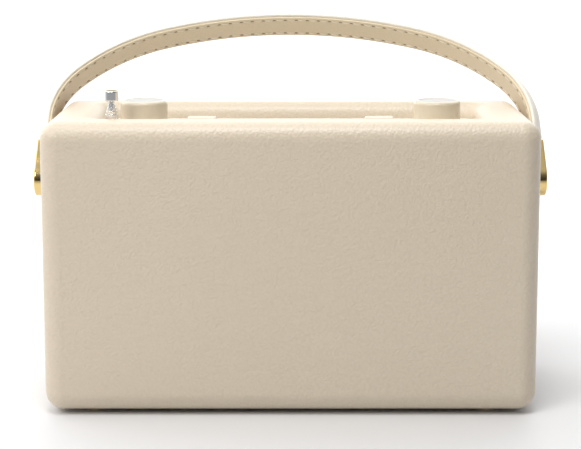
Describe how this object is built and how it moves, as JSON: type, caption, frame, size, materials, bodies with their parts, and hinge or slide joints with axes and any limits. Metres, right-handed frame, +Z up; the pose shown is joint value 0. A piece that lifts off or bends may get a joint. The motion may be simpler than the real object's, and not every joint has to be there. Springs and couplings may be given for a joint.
{
  "type": "portable radio",
  "caption": "Table-top portable radio in a cream leather-covered wooden cabinet, with a padded leather carrying handle, recessed top controls and a telescopic antenna.",
  "frame": {"origin": "on the table, under the middle of the cabinet", "axes": "+X along the cabinet's length, +Z up, -Y out of the plain rear face, +Y out of the loudspeaker grille"},
  "size_m": [0.3136, 0.1587, 0.2275],
  "materials": {
    "cover_leather": "pebbled grain",
    "strap_leather": "smooth padded",
    "liner_leather": "smooth stitched",
    "handle_brass": "polished",
    "pin_steel": "turned",
    "knob_plastic": "satin moulded",
    "knob_cap": "fine satin",
    "key_plastic": "satin",
    "panel_metal": "satin",
    "lens_plastic": "polished",
    "display_glass": "polished",
    "circuit_board": "coated",
    "component_plastic": "moulded",
    "control_metal": "plated",
    "cabinet_wood": "bare plywood",
    "baffle_board": "black stained",
    "grille_fabric": "woven",
    "grille_metal": "satin",
    "trim_brass": "polished",
    "speaker_steel": "pressed",
    "cone_paper": "pressed paper",
    "magnet_iron": "ground",
    "foot_rubber": "matt",
    "case_plastic": "moulded",
    "contact_metal": "nickel plated",
    "antenna_chrome": "polished",
    "screw_steel": "zinc plated"
  },
  "bodies": {
    "cabinet": {"antenna_post": "case_plastic", "antenna_socket": "antenna_chrome", "battery_case": "case_plastic", "battery_contacts": "contact_metal", "board_components": "component_plastic", "cabinet_screws": "screw_steel", "cabinet_shell": "cabinet_wood", "control_board": "circuit_board", "control_nuts": "pin_steel", "display_lens": "lens_plastic", "display_module": "display_glass", "feet": "foot_rubber", "front_baffle": "baffle_board", "grille_cloth": "grille_fabric", "grille_trim": "trim_brass", "headphone_socket": "contact_metal", "inlet_pin": "contact_metal", "key_switches": "component_plastic", "leather_cover": "cover_leather", "pivot_pins": "pin_steel", "pivot_plates": "handle_brass", "pivot_screws": "handle_brass", "power_inlet": "component_plastic", "rear_board": "circuit_board", "rear_board_posts": "case_plastic", "rear_board_screws": "screw_steel", "socket_plate": "case_plastic", "speaker_cone_left": "cone_paper", "speaker_cone_right": "cone_paper", "speaker_frame_left": "speaker_steel", "speaker_frame_right": "speaker_steel", "speaker_grille": "grille_metal", "speaker_magnet_left": "magnet_iron", "speaker_magnet_right": "magnet_iron", "speaker_screws": "screw_steel", "top_panel": "panel_metal", "tuning_control": "control_metal", "volume_control": "control_metal"},
    "handle": {"handle_strap": "strap_leather", "handle_liner": "liner_leather", "handle_fitting_left": "handle_brass", "handle_fitting_right": "handle_brass", "handle_rivets": "handle_brass"},
    "volume": {"volume_knob": "knob_plastic", "volume_knob_cap": "knob_cap", "volume_shaft": "pin_steel"},
    "tuning": {"tuning_knob": "knob_plastic", "tuning_knob_cap": "knob_cap", "tuning_shaft": "pin_steel"},
    "left_key": {"key_left": "key_plastic"},
    "right_key": {"key_right": "key_plastic"},
    "antenna_stage_1": {"antenna_tube_1": "antenna_chrome"},
    "antenna_stage_2": {"antenna_tube_2": "antenna_chrome"},
    "antenna_stage_3": {"antenna_tube_3": "antenna_chrome"},
    "antenna_stage_4": {"antenna_tube_4": "antenna_chrome"},
    "antenna_stage_5": {"antenna_rod": "antenna_chrome", "antenna_cap": "antenna_chrome"},
    "door": {"battery_door": "case_plastic"}
  },
  "joints": [
    {"name": "handle_swing", "type": "hinge", "parent": "cabinet", "child": "handle", "pos_m": [0, 0, 0.1312], "axis": [1, 0, 0], "range_deg": [-64.5, 155.5]},
    {"name": "volume_turn", "type": "hinge", "parent": "cabinet", "child": "volume", "pos_m": [-0.089, 0, 0.17], "axis": [0, 0, -1], "range_deg": [0, 300]},
    {"name": "tuning_turn", "type": "hinge", "parent": "cabinet", "child": "tuning", "pos_m": [0.089, 0, 0.17], "axis": [0, 0, -1], "continuous": true},
    {"name": "left_key_press", "type": "slide", "parent": "cabinet", "child": "left_key", "axis": [0, 0, -1], "range_m": [0, 0.0015], "stiffness_N_per_m": 250, "springref_m": -0.002},
    {"name": "right_key_press", "type": "slide", "parent": "cabinet", "child": "right_key", "axis": [0, 0, -1], "range_m": [0, 0.0015], "stiffness_N_per_m": 250, "springref_m": -0.002},
    {"name": "antenna_spin", "type": "hinge", "parent": "cabinet", "child": "antenna_stage_1", "pos_m": [-0.1061, -0.024, 0.17], "axis": [0, 0, 1], "continuous": true},
    {"name": "antenna_slide_2", "type": "slide", "parent": "antenna_stage_1", "child": "antenna_stage_2", "axis": [0, 0, 1], "range_m": [0, 0.125]},
    {"name": "antenna_slide_3", "type": "slide", "parent": "antenna_stage_2", "child": "antenna_stage_3", "axis": [0, 0, 1], "range_m": [0, 0.125]},
    {"name": "antenna_slide_4", "type": "slide", "parent": "antenna_stage_3", "child": "antenna_stage_4", "axis": [0, 0, 1], "range_m": [0, 0.125]},
    {"name": "antenna_slide_5", "type": "slide", "parent": "antenna_stage_4", "child": "antenna_stage_5", "axis": [0, 0, 1], "range_m": [0, 0.125]},
    {"name": "door_hinge", "type": "hinge", "parent": "cabinet", "child": "door", "pos_m": [0, -0.0307, 0.0045], "axis": [-1, 0, 0], "range_deg": [0, 90]}
  ]
}
